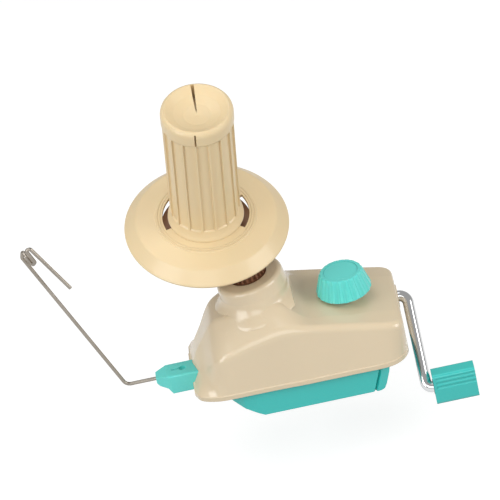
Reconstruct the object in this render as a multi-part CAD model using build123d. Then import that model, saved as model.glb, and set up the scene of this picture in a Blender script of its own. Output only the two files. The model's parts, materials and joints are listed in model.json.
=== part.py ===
from build123d import *
import math
import os

# Hand-cranked yarn cone winder that clamps to a table edge.
# Millimetres. Origin: centre of the seat that rests on the table top, +Z up,
# +X towards the crank, +Y away from the side with the yarn guide.

# --- general fits -----------------------------------------------------------
RUN = 0.05            # radial clearance of a running fit
SEATED = 0.02         # radial clearance of a piece fixed in its bore
GAP = 0.4             # free gap between pieces that pass each other
END_FLOAT = 0.3       # axial float of a turning piece

# --- body -------------------------------------------------------------------
SCREW_X = 46.0        # clamp screw axis from the seat centre
FRONT_REACH = 112.0   # screw axis to the front end wall
REAR_REACH = 34.0     # screw axis to the rear end wall
HALF_WIDTH = 42.5     # half width of the bottom edge
SIDE_DRAFT = 3.8      # how far each side leans in up to the fold
REAR_CORNER = 18.0    # plan radius of the rear corners at the bottom
REAR_TOP_CORNER = 8.0 # and at the fold
WALL = 2.5
SKIRT_Z = 0.5         # bottom edge of the cover above the table
FOLD_AT_SCREW = 35.2  # height of the side fold beside the screw
TOP_FALL = 11.5       # degrees, the top falls towards the crank
CROWN = 1.0           # the top is this much higher than the fold
FOLD_ROUND = 5.0
TOWER_SOFT = 0.4      # extra fold radius per millimetre that the tower rises
TOWER_TOP = 56.0      # height of the tower's shoulder
FRONT_TOP = 12.0      # height of the front end wall
BAND_HEIGHT = 3.0     # thicker band along the bottom edge
BAND_STEP = 0.6

# --- neck -------------------------------------------------------------------
NECK_FROM_SCREW = 60.5
NECK_Z = 67.8
NECK_LEAN = 8.25     # degrees, towards the front end
NECK_R = 22.6
NECK_EDGE = 3.0
NECK_WALL = 2.6
MOUTH_R = 12.7
MOUTH_DEPTH = 3.0
MOUTH_FLOOR = 2.5
NECK_SKIRT = 9.0      # straight part of the neck's outer wall
NECK_BACK = 23.4      # flat rear side of the neck, from its axis
NECK_TUBE_R = 11.0
NECK_TUBE_LENGTH = 25.5

# --- gears ------------------------------------------------------------------
SPUR_MODULE = 0.9
CRANK_TEETH = 24
PINION_TEETH = 11
SPUR_WIDTH = 8.0
LAY_BEVEL_TEETH = 24
NECK_BEVEL_TEETH = 16
NECK_BEVEL_R = 8.0
BEVEL_INNER = 0.74    # inner end of the bevel teeth, share of the cone distance
SUN_TEETH = 21
SUN_R = 11.24
SUN_LIFT = 0.5        # wide end of the sun teeth above the mouth
HUB_TEETH = 48
SUN_INNER = 0.945
PRESSURE_ANGLE = 20.0

# --- crank ------------------------------------------------------------------
CRANK_Y = 12.0
CRANK_Z = 19.0
ROD_R = 3.8
ARM_X = 40.4          # arm plane from the screw axis
ARM_LENGTH = 66.0
ARM_SWING = 45.0      # degrees from straight down, towards the guide side
ROD_BEND = 6.0
GRIP_BEND = 4.4
GRIP_LENGTH = 29.0
GRIP_HEIGHT = 23.3
GRIP_THICK = 12.0
WASHER_T = 1.2        # dark washer let into the grip's end
ROD_FRONT = 39.0      # front end of the rod from the screw axis

# --- lay shaft --------------------------------------------------------------
LAY_R = 2.5
LAY_BUSH_R = 4.5
PLATE = 3.0
FRONT_PLATE = 41.0    # front face of the front frame plate from the screw axis
REAR_PLATE = 15.0
SPUR_AT = 30.0        # front face of the spur gears from the screw axis

# --- clamp ------------------------------------------------------------------
SCREW_R = 4.0
SCREW_END = 38.0      # below the table plane
SLEEVE_WALL = 2.9
KNOB_LOW_R = 18.7
KNOB_TOP_R = 14.2
KNOB_HEIGHT = 15.1
KNOB_LIFT = 4.3       # knob skirt above the cover's top
KNOB_FLUTES = 20
KNOB_FLUTE_R = 2.0
JAW_FRONT = 95.0      # nose from the screw axis
JAW_REAR = 21.2
JAW_REAR_LEAN = 7.0
JAW_GROOVE = 7.6      # groove in the jaw's sides, ahead of its rear face
JAW_HALF = 37.0
JAW_DEPTH = 19.2
JAW_WALL = 3.0
JAW_NOSE = 26.0       # length of the rounded nose
JAW_LIP = 1.1         # jaw's top below the table plane when closed
PAD = 1.5
PAD_PROUD = 0.5
NUT_FLATS = 13.0
NUT_THICK = 6.5
GUIDE_ROD_R = 3.0
GUIDE_ROD_Y = 24.0
GUIDE_ROD_X = 7.5     # behind the screw axis
GUIDE_ROD_TOP = 27.0

# --- head and cone ----------------------------------------------------------
HEAD_TILT = 22.8      # degrees between the neck axis and the cone axis
HEAD_TURN = 128.1     # degrees, where the head stands at rest
FLANGE_DROP = 54.9    # flange plane below the crossing of cone axis and neck axis
SHAFT_R = 4.0
ARM_HUB_R = 7.5
ARM_HUB_TOP = 19.0
ARM_WEB = 13.0
JOURNAL_R = 8.9
COLLAR_R = 13.5
COLLAR_LOW = 28.5     # collar's lower face below the flange plane
COLLAR_HIGH = 12.0
FLANGE_R = 55.0
BEVEL_R = 46.5
BEVEL_FALL = 7.6
DOME = 2.4
STEP_R = 34.0
FLANGE_T = 2.2
SLOT_IN = 23.9
SLOT_OUT = 29.0
SLOT_SWEEP = 61.0
SLOT_MIDDLES = (-4.0, 168.0)
CONE_TOP = 105.0
CONE_LOW_R = 23.3
CONE_HIGH_R = 22.9
CONE_BAND_R = 23.9
CONE_BAND = 12.0
CONE_WALL = 2.2
RIBS = 16
RIB_HIGH = 0.9
RIB_WIDE = 1.5
CONE_DISH = 7.0
SLIT = 1.1
WEB_R = 30.5          # disc of the hub behind the flange slots
WEB_T = 1.8
WEB_DROP = 7.2

# --- yarn guide -------------------------------------------------------------
HOLDER_Y = -11.7
HOLDER_WIDTH = 16.6
HOLDER_TOP = 13.9
HOLDER_LOW = 0.4
HOLDER_REACH = 23.8   # nose of the holder ahead of the front end wall
WIRE_R = 1.25
WIRE_Z = 9.9
WIRE_BEND = 1.4       # at the hook
WIRE_ELBOW = 5.0      # at the foot of the upright
POCKET_R = 2.4

# --- derived frames ---------------------------------------------------------
def unit(degrees):
    """Cosine and sine of an angle in degrees."""
    return math.cos(math.radians(degrees)), math.sin(math.radians(degrees))


def cone_angle(teeth, mate, shaft_angle):
    """Pitch cone angle in degrees of a bevel gear."""
    c, s = unit(shaft_angle)
    return math.degrees(math.atan2(s, mate / teeth + c))


LEAN_C, LEAN_S = unit(NECK_LEAN)
TILT_C, TILT_S = unit(HEAD_TILT)
NECK = Plane(origin=(SCREW_X - NECK_FROM_SCREW, 0, NECK_Z),
             x_dir=(LEAN_C, 0, LEAN_S), z_dir=(-LEAN_S, 0, LEAN_C))
TURN_C, TURN_S = unit(HEAD_TURN)
HEAD = Plane(origin=NECK.origin,
             x_dir=NECK.x_dir * TURN_C + NECK.y_dir * TURN_S, z_dir=NECK.z_dir)
CONE_AXIS = HEAD.z_dir * TILT_C - HEAD.x_dir * TILT_S
SUN_CONE = cone_angle(SUN_TEETH, HUB_TEETH, HEAD_TILT)
CROSS_HEIGHT = SUN_LIFT + SUN_R / math.tan(math.radians(SUN_CONE))
CROSSING = HEAD.origin + HEAD.z_dir * CROSS_HEIGHT
FLANGE_AT = CROSSING - CONE_AXIS * FLANGE_DROP
ACROSS = HEAD.x_dir * TILT_C + HEAD.z_dir * TILT_S
SIDEWAYS = Vector(1, 0, 0) - CONE_AXIS * CONE_AXIS.X
CONE = Plane(origin=FLANGE_AT, x_dir=SIDEWAYS, z_dir=CONE_AXIS)

PITCH_A = SPUR_MODULE * CRANK_TEETH / 2
PITCH_B = SPUR_MODULE * PINION_TEETH / 2
LAY_Z = CRANK_Z + math.sqrt((PITCH_A + PITCH_B) ** 2 - CRANK_Y ** 2)
LAY_DROP = (NECK_Z - LAY_Z) / LEAN_C
APEX = NECK.origin - NECK.z_dir * LAY_DROP


def front(distance):
    """X of a point this far in front of the clamp screw."""
    return SCREW_X - distance


# --- small builders ---------------------------------------------------------
def rod(radius, low, high, frame=Plane.XY):
    """Cylinder along a frame's axis between two heights."""
    disc = frame.offset(low) * Circle(radius)
    return extrude(disc, amount=high - low)


def turned(points, frame=Plane.XY):
    """Solid turned about a frame's axis from (radius, height) points."""
    face = Plane.XZ * make_face(Polyline(*points, close=True))
    return frame * revolve(face, Axis.Z)


def box(low, high):
    """Block between two corners."""
    size = [high[i] - low[i] for i in range(3)]
    middle = [(high[i] + low[i]) / 2 for i in range(3)]
    return Pos(*middle) * Box(*size)


def along_x(y, z):
    """Frame whose axis runs along +X through (y, z), with its x axis up."""
    return Plane(origin=(0, y, z), x_dir=(0, 0, 1), z_dir=(1, 0, 0))


def save(name, *solids):
    """Write one named piece, as one solid or as a group of like solids."""
    flat = [s for shape in solids for s in shape.solids()]
    piece = flat[0] if len(flat) == 1 else Compound(children=flat)
    export_step(piece, os.path.join("parts", name + ".step"))


# --- gear teeth -------------------------------------------------------------
def tooth_ring(teeth, pitch_r, pitch_cone, gap_first=False, high=0.85, deep=1.2, slack=0.12):
    """Points of a gear's cross-section at its pitch circle.

    A spur gear has a pitch cone of 0 degrees. The flanks are involutes of the
    equivalent spur gear, thinned by a share of the module for backlash.
    """
    c, s = unit(pitch_cone)
    module = 2 * pitch_r / teeth
    equal_r = pitch_r / c
    base = equal_r * math.cos(math.radians(PRESSURE_ANGLE))

    def half_angle(radius):
        turn = math.acos(min(1.0, base / max(radius, base)))
        roll = math.tan(turn) - turn
        start = math.tan(math.radians(PRESSURE_ANGLE)) - math.radians(PRESSURE_ANGLE)
        return (math.pi * module / 4 - slack * module) / equal_r + start - roll

    def flat_radius(radius):
        if pitch_cone == 0:
            return radius
        rise = radius - equal_r
        reach = pitch_r / s
        return (pitch_r + rise * c) * reach * c / (reach * c - rise * s)

    levels = [equal_r + module * (high * k / 3 if k > 0 else deep * k / 2) for k in (-2, -1, 0, 1, 2, 3)]
    points = []
    for i in range(teeth):
        middle = 2 * math.pi * (i + (0.5 if gap_first else 0)) / teeth
        flank = [(flat_radius(r), half_angle(r) / c) for r in levels]
        sides = [(r, -a) for r, a in flank] + [(r, a) for r, a in reversed(flank)]
        points += [(r * math.cos(middle + a), r * math.sin(middle + a)) for r, a in sides]
    return points


def spur_gear(frame, teeth, low, high, bore, gap_first=False):
    """Spur gear with a plain bore."""
    outline = tooth_ring(teeth, SPUR_MODULE * teeth / 2, 0, gap_first)
    face = frame.offset(low) * make_face(Polyline(*outline, close=True))
    return extrude(face, amount=high - low) - rod(bore, low - 1, high + 1, frame)


def bevel_teeth(frame, teeth, pitch_r, pitch_cone, inner, gap_first=False):
    """Bevel tooth body; the frame's origin is the apex and its axis the gear's."""
    outline = tooth_ring(teeth, pitch_r, pitch_cone, gap_first)
    height = pitch_r / math.tan(math.radians(pitch_cone))
    wide = frame.offset(height) * make_face(Polyline(*outline, close=True))
    small = [(x * inner, y * inner) for x, y in outline]
    narrow = frame.offset(height * inner) * make_face(Polyline(*small, close=True))
    return loft([narrow, wide], ruled=True), height


# --- cover ------------------------------------------------------------------
def fold_height(x):
    """Height of the side fold on the rear block, x from the screw axis."""
    return FOLD_AT_SCREW - math.tan(math.radians(TOP_FALL)) * x


def tower_rows():
    """Rows of the tower: x, bottom half width, fold and top corners as (y, z)."""
    reach = FRONT_REACH - NECK_FROM_SCREW - NECK_R - 3
    rise = TOWER_TOP - FRONT_TOP
    shape = [
        (0.00, 14.5, 23.7, 7.0, 7, 0.00),
        (0.08, 9.5, 21.7, 8.5, 8, 0.04),
        (0.19, 6.0, 17.2, 12.0, 8, 0.18),
        (0.43, 3.0, 11.2, 18.0, 9, 0.41),
        (0.64, 1.5, 4.5, 25.0, 11, 0.62),
        (0.81, 1.0, 1.1, 28.5, 13, 0.75),
        (1.08, 0.9, 0.3, 32.0, 16, 0.83),
    ]
    return [(k * reach - FRONT_REACH, HALF_WIDTH - low_in, (HALF_WIDTH - SIDE_DRAFT - fold_in, fold_z),
             (top_y, FRONT_TOP + lift * rise))
            for k, low_in, fold_in, fold_z, top_y, lift in shape]


def corner_inset(x, radius):
    """How far a rounded rear corner has drawn in at x."""
    into = max(0.0, x - (REAR_REACH - radius))
    return radius - math.sqrt(radius ** 2 - into ** 2)


def rows():
    """All rows along the body, from the front end to the rear end."""
    neck = -NECK_FROM_SCREW
    side = HALF_WIDTH - SIDE_DRAFT
    shoulder = [
        (neck, HALF_WIDTH - 0.8, (side, 38.0), (21, TOWER_TOP)),
        (neck + NECK_R - 8, HALF_WIDTH - 0.4, (side, fold_height(neck + NECK_R - 8) - 3.0), (21, TOWER_TOP - 1.5)),
        (neck + NECK_R + 1.5, HALF_WIDTH, (side, fold_height(neck + NECK_R + 1.5) - 0.8), (24, TOWER_TOP - 8.5)),
    ]
    block = []
    for share, fall in ((0.0, 0.0), (0.38, 0.0), (0.7, 0.0), (0.86, 0.1), (0.95, 0.6), (0.99, 1.8)):
        x = REAR_REACH - REAR_CORNER * (1 - share)
        fold = (side - corner_inset(x, REAR_TOP_CORNER), fold_height(x) - fall)
        block.append((x, HALF_WIDTH - corner_inset(x, REAR_CORNER), fold, (22, fold[1] + CROWN)))
    level = [(x, HALF_WIDTH, (side, fold_height(x)), (26, fold_height(x) + CROWN))
             for x in (neck + NECK_R + 9, -15.0, 0.0)]
    return tower_rows() + shoulder + level + block


def section(x, points, above):
    """Rounded cross-section of the body at x."""
    face = make_face(Polyline(*points, close=True))
    corners = [v for v in face.vertices() if v.Y > above]
    top = max(v.Y for v in corners)
    soft = FOLD_ROUND + TOWER_SOFT * max(0.0, top - FOLD_AT_SCREW - 7)
    face = fillet(corners, min(soft, top * (0.15 if top < FOLD_AT_SCREW else 0.19)))
    return Plane(origin=(SCREW_X + x, 0, 0), x_dir=(0, 1, 0), z_dir=(1, 0, 0)) * face


def body_form(inset):
    """Outer form of the body, or its hollow when inset is the wall."""
    table = rows()
    first, last = table[0][0], table[-1][0]
    faces = []
    for x, wide, (fold_y, fold_z), (top_y, top_z) in table:
        wide -= inset
        fold_y, fold_z = fold_y - inset, fold_z - inset * 0.7
        low = SKIRT_Z - (1 if inset else 0)
        side = [(wide, low), (fold_y, fold_z), (min(top_y, fold_y - 3) - inset * 0.4, top_z - inset)]
        if inset == 0:
            proud = wide + BAND_STEP
            side = [(proud, low), (proud, low + BAND_HEIGHT), (wide, low + BAND_HEIGHT + 0.4)] + side[1:]
        points = side + [(-y, z) for y, z in reversed(side)]
        drift = inset * (1 - 2 * (x - first) / (last - first))
        faces.append(section(x + drift, points, fold_z - 0.5))
    return loft(faces)


def neck_form(inset):
    """Neck that widens into the tower, with a flat rear side towards the knob."""
    r = NECK_R - inset
    low = -NECK_SKIRT
    top = 0 if inset == 0 else -(MOUTH_DEPTH + MOUTH_FLOOR)
    form = turned([(0, top), (r, top), (r + 0.6, low - 0.2), (0, low - 0.2)], NECK)
    if inset == 0:
        rim = form.edges().filter_by(GeomType.CIRCLE).filter_by(
            lambda e: abs(e.radius - NECK_R) < 0.01)
        form = fillet(rim, NECK_EDGE)
    flare = [(0.0, 0.0, 0.6), (3.0, 0.9, 1.4), (6.0, 2.5, 2.6), (9.5, 3.2, 5.6), (14.0, 2.6, 9.8)]
    rings = [NECK.offset(low - down) * Pos(-ahead, 0) * Circle(r + wider) for down, ahead, wider in flare]
    foot = loft(rings) & extrude(NECK.offset(low + 1) * Pos(NECK_BACK - inset - 50, 0) * Rectangle(100, 100),
                                 amount=-20)
    return form + foot


NECK_BUSH_R = 8.0
TOP_BUSH_R = 5.6
TOP_COLLAR_R = 8.0
CRANK_BUSH_R = 5.5
PLATE_TOP = SKIRT_Z + 3.0
BLOCK_TOP = fold_height(0) + CROWN
POSTS = [(front(FRONT_REACH - 15), -21), (front(FRONT_REACH - 15), 21),
         (SCREW_X + 17, -30), (SCREW_X + 17, 31)]
SCREW = Plane(origin=(SCREW_X, 0, 0))


def upright(x, y):
    """Frame with its axis straight up through (x, y)."""
    return Plane(origin=(x, y, 0))


def upper_cover():
    """Cream cover: rear block, tower and neck, with its inner tubes."""
    shell = body_form(0) + neck_form(0) - body_form(WALL) - neck_form(NECK_WALL)
    shell += rod(NECK_TUBE_R, -NECK_TUBE_LENGTH, -MOUTH_DEPTH, NECK)
    shell += rod(SCREW_R + SLEEVE_WALL + 0.6, PLATE_TOP + GAP, BLOCK_TOP - 1, SCREW)
    shell += rod(TOP_COLLAR_R + 1.4, BLOCK_TOP - 4, BLOCK_TOP + 0.4, SCREW)
    crank = along_x(CRANK_Y, CRANK_Z)
    shell += rod(8.0, SCREW_X + REAR_REACH - 5, SCREW_X + REAR_REACH + 0.5, crank)
    middle = body_form(WALL / 2)
    for x, y in POSTS:
        shell += rod(4.0, PLATE_TOP + GAP, TOWER_TOP, upright(x, y)) & middle
    shell -= rod(MOUTH_R, -MOUTH_DEPTH, 5, NECK)
    shell -= rod(NECK_BUSH_R + SEATED, -NECK_TUBE_LENGTH - 5, 0, NECK)
    shell -= rod(SCREW_R + 0.6, -5, BLOCK_TOP + 5, SCREW)
    shell -= rod(TOP_COLLAR_R + 1.4, BLOCK_TOP + 0.4, BLOCK_TOP + 9, SCREW)
    shell -= rod(TOP_BUSH_R + SEATED, BLOCK_TOP - 6, BLOCK_TOP + 5, SCREW)
    shell -= rod(CRANK_BUSH_R + SEATED, SCREW_X + REAR_REACH - 8, SCREW_X + REAR_REACH + 3, crank)
    for x, y in POSTS:
        shell -= rod(1.25, 0, 14, upright(x, y))
    return shell - tenon(0.15)


# --- yarn guide -------------------------------------------------------------
def tenon(clear):
    """Tongue of the guide holder inside the front wall."""
    back = front(FRONT_REACH)
    half = HOLDER_WIDTH / 2 - 4.8 + clear
    return box((back - 1.5, HOLDER_Y - half, PLATE_TOP + 0.5 - clear),
               (back + 9, HOLDER_Y + half, PLATE_TOP + 5.0 + clear))


def guide_holder():
    """Turquoise block that carries the wire, with a gripping slot."""
    back = front(FRONT_REACH) + 6
    nose = front(FRONT_REACH + HOLDER_REACH)
    low, high = HOLDER_LOW, HOLDER_TOP
    side = [(back, low), (back, high), (nose + 8, high), (nose, WIRE_Z + 2.4), (nose, WIRE_Z - 1.6),
            (nose + 1.6, WIRE_Z - 3.6), (nose + 7, WIRE_Z - 5.6), (nose + 9.5, low)]
    half = HOLDER_WIDTH / 2
    plan = [(back, -half), (nose + 9, -half), (nose, -4), (nose, 4), (nose + 9, half), (back, half)]
    profile = Plane(origin=(0, HOLDER_Y - half, 0), x_dir=(1, 0, 0), z_dir=(0, -1, 0))
    block = extrude(profile * make_face(Polyline(*side, close=True)), amount=-2 * half)
    outline = Plane(origin=(0, HOLDER_Y, low)) * make_face(Polyline(*plan, close=True))
    block = block & extrude(outline, amount=high - low)
    block = fillet(block.edges().filter_by(Axis.X).sort_by(Axis.Z)[-2:], 1.2)
    block = block - body_form(0) + tenon(0)
    wire = along_x(HOLDER_Y, WIRE_Z)
    deep = front(FRONT_REACH + 4)
    block -= rod(WIRE_R + RUN, nose - 1, deep, wire)
    block -= box((nose + 11, HOLDER_Y - 0.6, WIRE_Z), (deep, HOLDER_Y + 0.6, high + 1))
    pocket = nose + 18.6
    block -= rod(POCKET_R, high - 2.4, high + 1, upright(pocket, HOLDER_Y))
    return block - box((pocket, HOLDER_Y - POCKET_R, high - 2.4), (deep, HOLDER_Y + POCKET_R, high + 1))


def guide_wire():
    """Bent steel wire with its hooked eye."""
    y = HOLDER_Y
    nose = front(FRONT_REACH + HOLDER_REACH)
    points = [
        (front(FRONT_REACH + 5), y, WIRE_Z),
        (nose - 20.5, y, WIRE_Z),
        (nose - 66.6, y, 123.4),
        (nose - 65.0, y - 0.4, 129.8),
        (nose - 63.4, y - 3.2, 125.4),
        (nose - 60.8, y - 3.6, 118.2),
        (nose - 58.5, y - 7.0, 122.2),
        (nose - 62.4, y - 7.4, 132.6),
        (nose - 59.3, y - 7.4, 133.1),
        (nose - 40.2, y - 7.0, 97.3),
    ]
    path = FilletPolyline(*points, radius=[WIRE_ELBOW] + [WIRE_BEND] * (len(points) - 3))
    start = Plane(origin=points[0], z_dir=(-1, 0, 0))
    return sweep(start * Circle(WIRE_R), path=path)


# --- base and clamp ---------------------------------------------------------
PAD_FRONT = front(JAW_FRONT - 8)
PAD_REAR = front(11)
PAD_HALF = JAW_HALF - 9


FRAME_SCREWS = [(front(FRONT_PLATE - 7), -9), (front(FRONT_PLATE - 7), 26),
                (front(REAR_PLATE + 5), -9), (front(REAR_PLATE + 5), 26)]


def base_plate():
    """Bottom plate that closes the cover and carries the works."""
    plate = body_form(WALL + 0.2) & box((front(200), -60, SKIRT_Z), (SCREW_X + 60, 60, PLATE_TOP))
    plate -= rod(SCREW_R + 0.6, -1, 9, SCREW)
    for y in (-GUIDE_ROD_Y, GUIDE_ROD_Y):
        socket = upright(SCREW_X + GUIDE_ROD_X, y)
        plate += rod(GUIDE_ROD_R + 2.5, SKIRT_Z, SKIRT_Z + 12, socket)
        plate -= rod(GUIDE_ROD_R + RUN, -1, SKIRT_Z + 13, socket)
    plate -= box((PAD_FRONT, -PAD_HALF, -1), (PAD_REAR, PAD_HALF, PAD))
    for x, y in POSTS:
        plate -= rod(1.7, -1, 9, upright(x, y)) + rod(3.3, -1, PAD + 0.6, upright(x, y))
    for x, y in FRAME_SCREWS:
        plate -= rod(1.25, PAD + 0.3, 9, upright(x, y))
    return plate


def seat_pad():
    """Rubber pad on which the winder sits on the table."""
    pad = box((PAD_FRONT + 0.1, -PAD_HALF + 0.1, 0), (PAD_REAR - 0.1, PAD_HALF - 0.1, PAD))
    return pad


def jaw_form(inset):
    """Boat-shaped form of the jaw, or its hollow."""
    top = -JAW_LIP - inset
    low = -JAW_LIP - JAW_DEPTH - (3 if inset else 0)
    nose = front(JAW_FRONT - inset)
    flat = front(JAW_FRONT - JAW_NOSE - inset)
    lean = JAW_REAR_LEAN * (top - low) / JAW_DEPTH
    rear = SCREW_X + JAW_REAR - inset
    curve = ThreePointArc((nose, top - 1.2), (nose + JAW_NOSE * 0.42, top - JAW_DEPTH * 0.5), (flat, low))
    sides = Polyline((flat, low), (rear - lean - 4, low), (rear - lean - 1, low + 1.2), (rear - lean + 0.8, low + 4),
                     (rear, top), (nose, top), (nose, top - 1.2))
    profile = Plane(origin=(0, 0, 0), x_dir=(1, 0, 0), z_dir=(0, -1, 0))
    form = extrude(profile * make_face(curve + sides), amount=JAW_HALF, both=True)
    half = JAW_HALF - inset
    plan = make_face(Polyline(
        (nose, -half * 0.55), (nose + 5, -half * 0.8), (nose + 14, -half * 0.97), (nose + 22, -half),
        (rear - 9, -half), (rear - 3, -half + 3), (rear, -half + 10),
        (rear, half - 10), (rear - 3, half - 3), (rear - 9, half),
        (nose + 22, half), (nose + 14, half * 0.97), (nose + 5, half * 0.8), (nose, half * 0.55), close=True))
    form = form & extrude(Plane.XY.offset(low) * plan, amount=top - low)
    return form


def clamp_jaw():
    """Turquoise jaw, hollow from below, with the nut's boss."""
    jaw = jaw_form(0) - jaw_form(JAW_WALL)
    top = -JAW_LIP
    jaw += rod(NUT_FLATS / 2 + 3.0, top - NUT_THICK - 6, top - 0.5, SCREW) & jaw_form(0)
    for y in (-GUIDE_ROD_Y, GUIDE_ROD_Y):
        jaw += rod(GUIDE_ROD_R + 2.4, top - 12, top - 0.5, upright(SCREW_X + GUIDE_ROD_X, y)) & jaw_form(0)
    for x in (front(JAW_FRONT - 34), front(JAW_FRONT - 62)):
        jaw += box((x, -JAW_HALF + 1, top - 11), (x + 2.4, JAW_HALF - 1, top - 1))
    groove = Plane(origin=(SCREW_X + JAW_REAR - JAW_GROOVE, 0, top), x_dir=(0, 1, 0),
                   z_dir=(-JAW_REAR_LEAN, 0, -JAW_DEPTH))
    for side in (-1, 1):
        vee = Polyline((side * (JAW_HALF - 2), 0), (side * (JAW_HALF + 1), -1.5), (side * (JAW_HALF + 1), 1.5),
                       close=True)
        jaw -= extrude(groove.offset(-3) * make_face(vee), amount=JAW_DEPTH + 9)
    jaw -= rod(SCREW_R + 0.6, -40, 5, SCREW)
    nut = RegularPolygon(NUT_FLATS / 2 + SEATED, 6, major_radius=False)
    jaw -= extrude(SCREW.offset(top - NUT_THICK - 7) * nut, amount=NUT_THICK + 4)
    for y in (-GUIDE_ROD_Y, GUIDE_ROD_Y):
        jaw -= rod(GUIDE_ROD_R + SEATED, top - 10, 3, upright(SCREW_X + GUIDE_ROD_X, y))
    jaw -= box((PAD_FRONT, -PAD_HALF, top - PAD + PAD_PROUD), (PAD_REAR, PAD_HALF, 3))
    return jaw


def jaw_nut():
    """Hexagon nut captive in the jaw."""
    top = -JAW_LIP - 3.0
    nut = RegularPolygon(NUT_FLATS / 2, 6, major_radius=False)
    return extrude(SCREW.offset(top - NUT_THICK) * nut, amount=NUT_THICK) - rod(SCREW_R + RUN, -40, 5, SCREW)


def jaw_pad():
    """Rubber pad on the jaw, flush with a small gap to the seat."""
    low = -JAW_LIP - PAD + PAD_PROUD
    return box((PAD_FRONT + 0.1, -PAD_HALF + 0.1, low), (PAD_REAR - 0.1, PAD_HALF - 0.1, low + PAD))


def jaw_guide_rods():
    """Two steel rods that keep the jaw square as it slides."""
    return [rod(GUIDE_ROD_R, -JAW_LIP - 10, GUIDE_ROD_TOP, upright(SCREW_X + GUIDE_ROD_X, y))
            for y in (-GUIDE_ROD_Y, GUIDE_ROD_Y)]


KNOB_LOW = FOLD_AT_SCREW + CROWN + KNOB_LIFT


def clamp_screw():
    """Threaded rod from the knob down through the jaw."""
    body = rod(SCREW_R, -SCREW_END, KNOB_LOW + KNOB_HEIGHT - 4, SCREW)
    return chamfer(body.edges().sort_by(Axis.Z)[0], 1.0)


def top_bush():
    """Flanged bush in the cover's top that the knob bears on."""
    body = rod(TOP_BUSH_R, BLOCK_TOP - 5.5, BLOCK_TOP + 0.6, SCREW)
    body += rod(TOP_COLLAR_R, BLOCK_TOP + 0.42, BLOCK_TOP + 2.0, SCREW)
    return body - rod(SCREW_R + RUN, 0, 60, SCREW)


def clamp_knob():
    """Fluted turquoise knob."""
    low, high = KNOB_LOW, KNOB_LOW + KNOB_HEIGHT
    edge = [(KNOB_LOW_R - 1.2, low), (KNOB_LOW_R, low + 1.0), (KNOB_LOW_R - 0.2, low + 2.6),
            (KNOB_TOP_R + 0.6, high - 1.2), (KNOB_TOP_R - 0.6, high)]
    body = turned([(0, low)] + edge + [(0, high)], SCREW)
    slant = math.degrees(math.atan2(KNOB_LOW_R - KNOB_TOP_R, KNOB_HEIGHT))
    middle = (KNOB_LOW_R + KNOB_TOP_R) / 2 + KNOB_FLUTE_R * 0.62
    for i in range(KNOB_FLUTES):
        turn = 360 * i / KNOB_FLUTES
        body -= Pos(SCREW_X, 0, (low + high) / 2) * Rot(0, 0, turn) * Pos(middle, 0, 0) \
            * Rot(0, -slant, 0) * Cylinder(KNOB_FLUTE_R, KNOB_HEIGHT * 2)
    body -= rod(KNOB_TOP_R - 2.6, high - 1.0, high + 1, SCREW)
    body -= turned([(7.0, low - 1), (KNOB_LOW_R - 3.5, low - 1), (KNOB_LOW_R - 4.5, low + 6), (7.0, low + 6)], SCREW)
    body += rod(7.0, low - 2.0, low + 3, SCREW)
    return body - rod(SCREW_R + SEATED, low - 5, high - 3.9, SCREW)


def knob_cap():
    """Disc let into the knob's top."""
    high = KNOB_LOW + KNOB_HEIGHT
    return rod(KNOB_TOP_R - 2.8, high - 1.0, high - 0.3, Plane(origin=(SCREW_X, 0, 0)))


# --- works ------------------------------------------------------------------
CRANK = along_x(CRANK_Y, CRANK_Z)
LAY = along_x(0, LAY_Z)


def gear_frame():
    """Frame with the two bearing plates."""
    x0, x1 = front(FRONT_PLATE), front(REAR_PLATE - PLATE)
    foot = box((x0, -13, PLATE_TOP), (x1, 30, PLATE_TOP + 2.2))
    foot -= box((x0 + 12, -7, 0), (x1 - 8, 20, 9))
    top = LAY_Z + LAY_BUSH_R + 1.6
    frame = foot
    for x in (x0, x1 - PLATE):
        outline = [(-9, PLATE_TOP), (23, PLATE_TOP), (21, CRANK_Z + 4), (8, top), (-8, top)]
        face = Plane(origin=(x, 0, 0), x_dir=(0, 1, 0), z_dir=(1, 0, 0)) * make_face(Polyline(*outline, close=True))
        frame += extrude(face, amount=PLATE)
    frame -= rod(LAY_BUSH_R + SEATED, x0 - 5, x1 + 5, LAY)
    frame -= rod(CRANK_BUSH_R + SEATED, x0 - 5, x1 + 5, CRANK)
    for x, y in FRAME_SCREWS:
        frame -= rod(1.5, 0, 20, upright(x, y))
    return frame


def bush(frame, bore, outer, low, high, flange=0.0, thick=1.5):
    """Plain bush, with a flange below its low end when one is asked for."""
    body = rod(outer, low, high, frame)
    if flange:
        body += rod(flange, low - thick, low, frame)
    return body - rod(bore + RUN, low - thick - 2, high + 2, frame)


def crank_rod():
    """Bent round rod: shaft, arm and grip spindle."""
    c, s = unit(ARM_SWING)
    x = SCREW_X + ARM_X
    down = (x, CRANK_Y - ARM_LENGTH * s, CRANK_Z - ARM_LENGTH * c)
    end = (x + GRIP_BEND + GRIP_LENGTH - 3, down[1], down[2])
    start = (front(ROD_FRONT), CRANK_Y, CRANK_Z)
    path = FilletPolyline(start, (x, CRANK_Y, CRANK_Z), down, end, radius=(ROD_BEND, GRIP_BEND))
    return sweep(Plane(origin=start, z_dir=(1, 0, 0)) * Circle(ROD_R), path=path)


def grip_frame():
    """Frame along the grip's spindle, starting at the end of the bend."""
    c, s = unit(ARM_SWING)
    at = (SCREW_X + ARM_X + GRIP_BEND, CRANK_Y - ARM_LENGTH * s, CRANK_Z - ARM_LENGTH * c)
    return Plane(origin=at, x_dir=(0, 1, 0), z_dir=(1, 0, 0))


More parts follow.
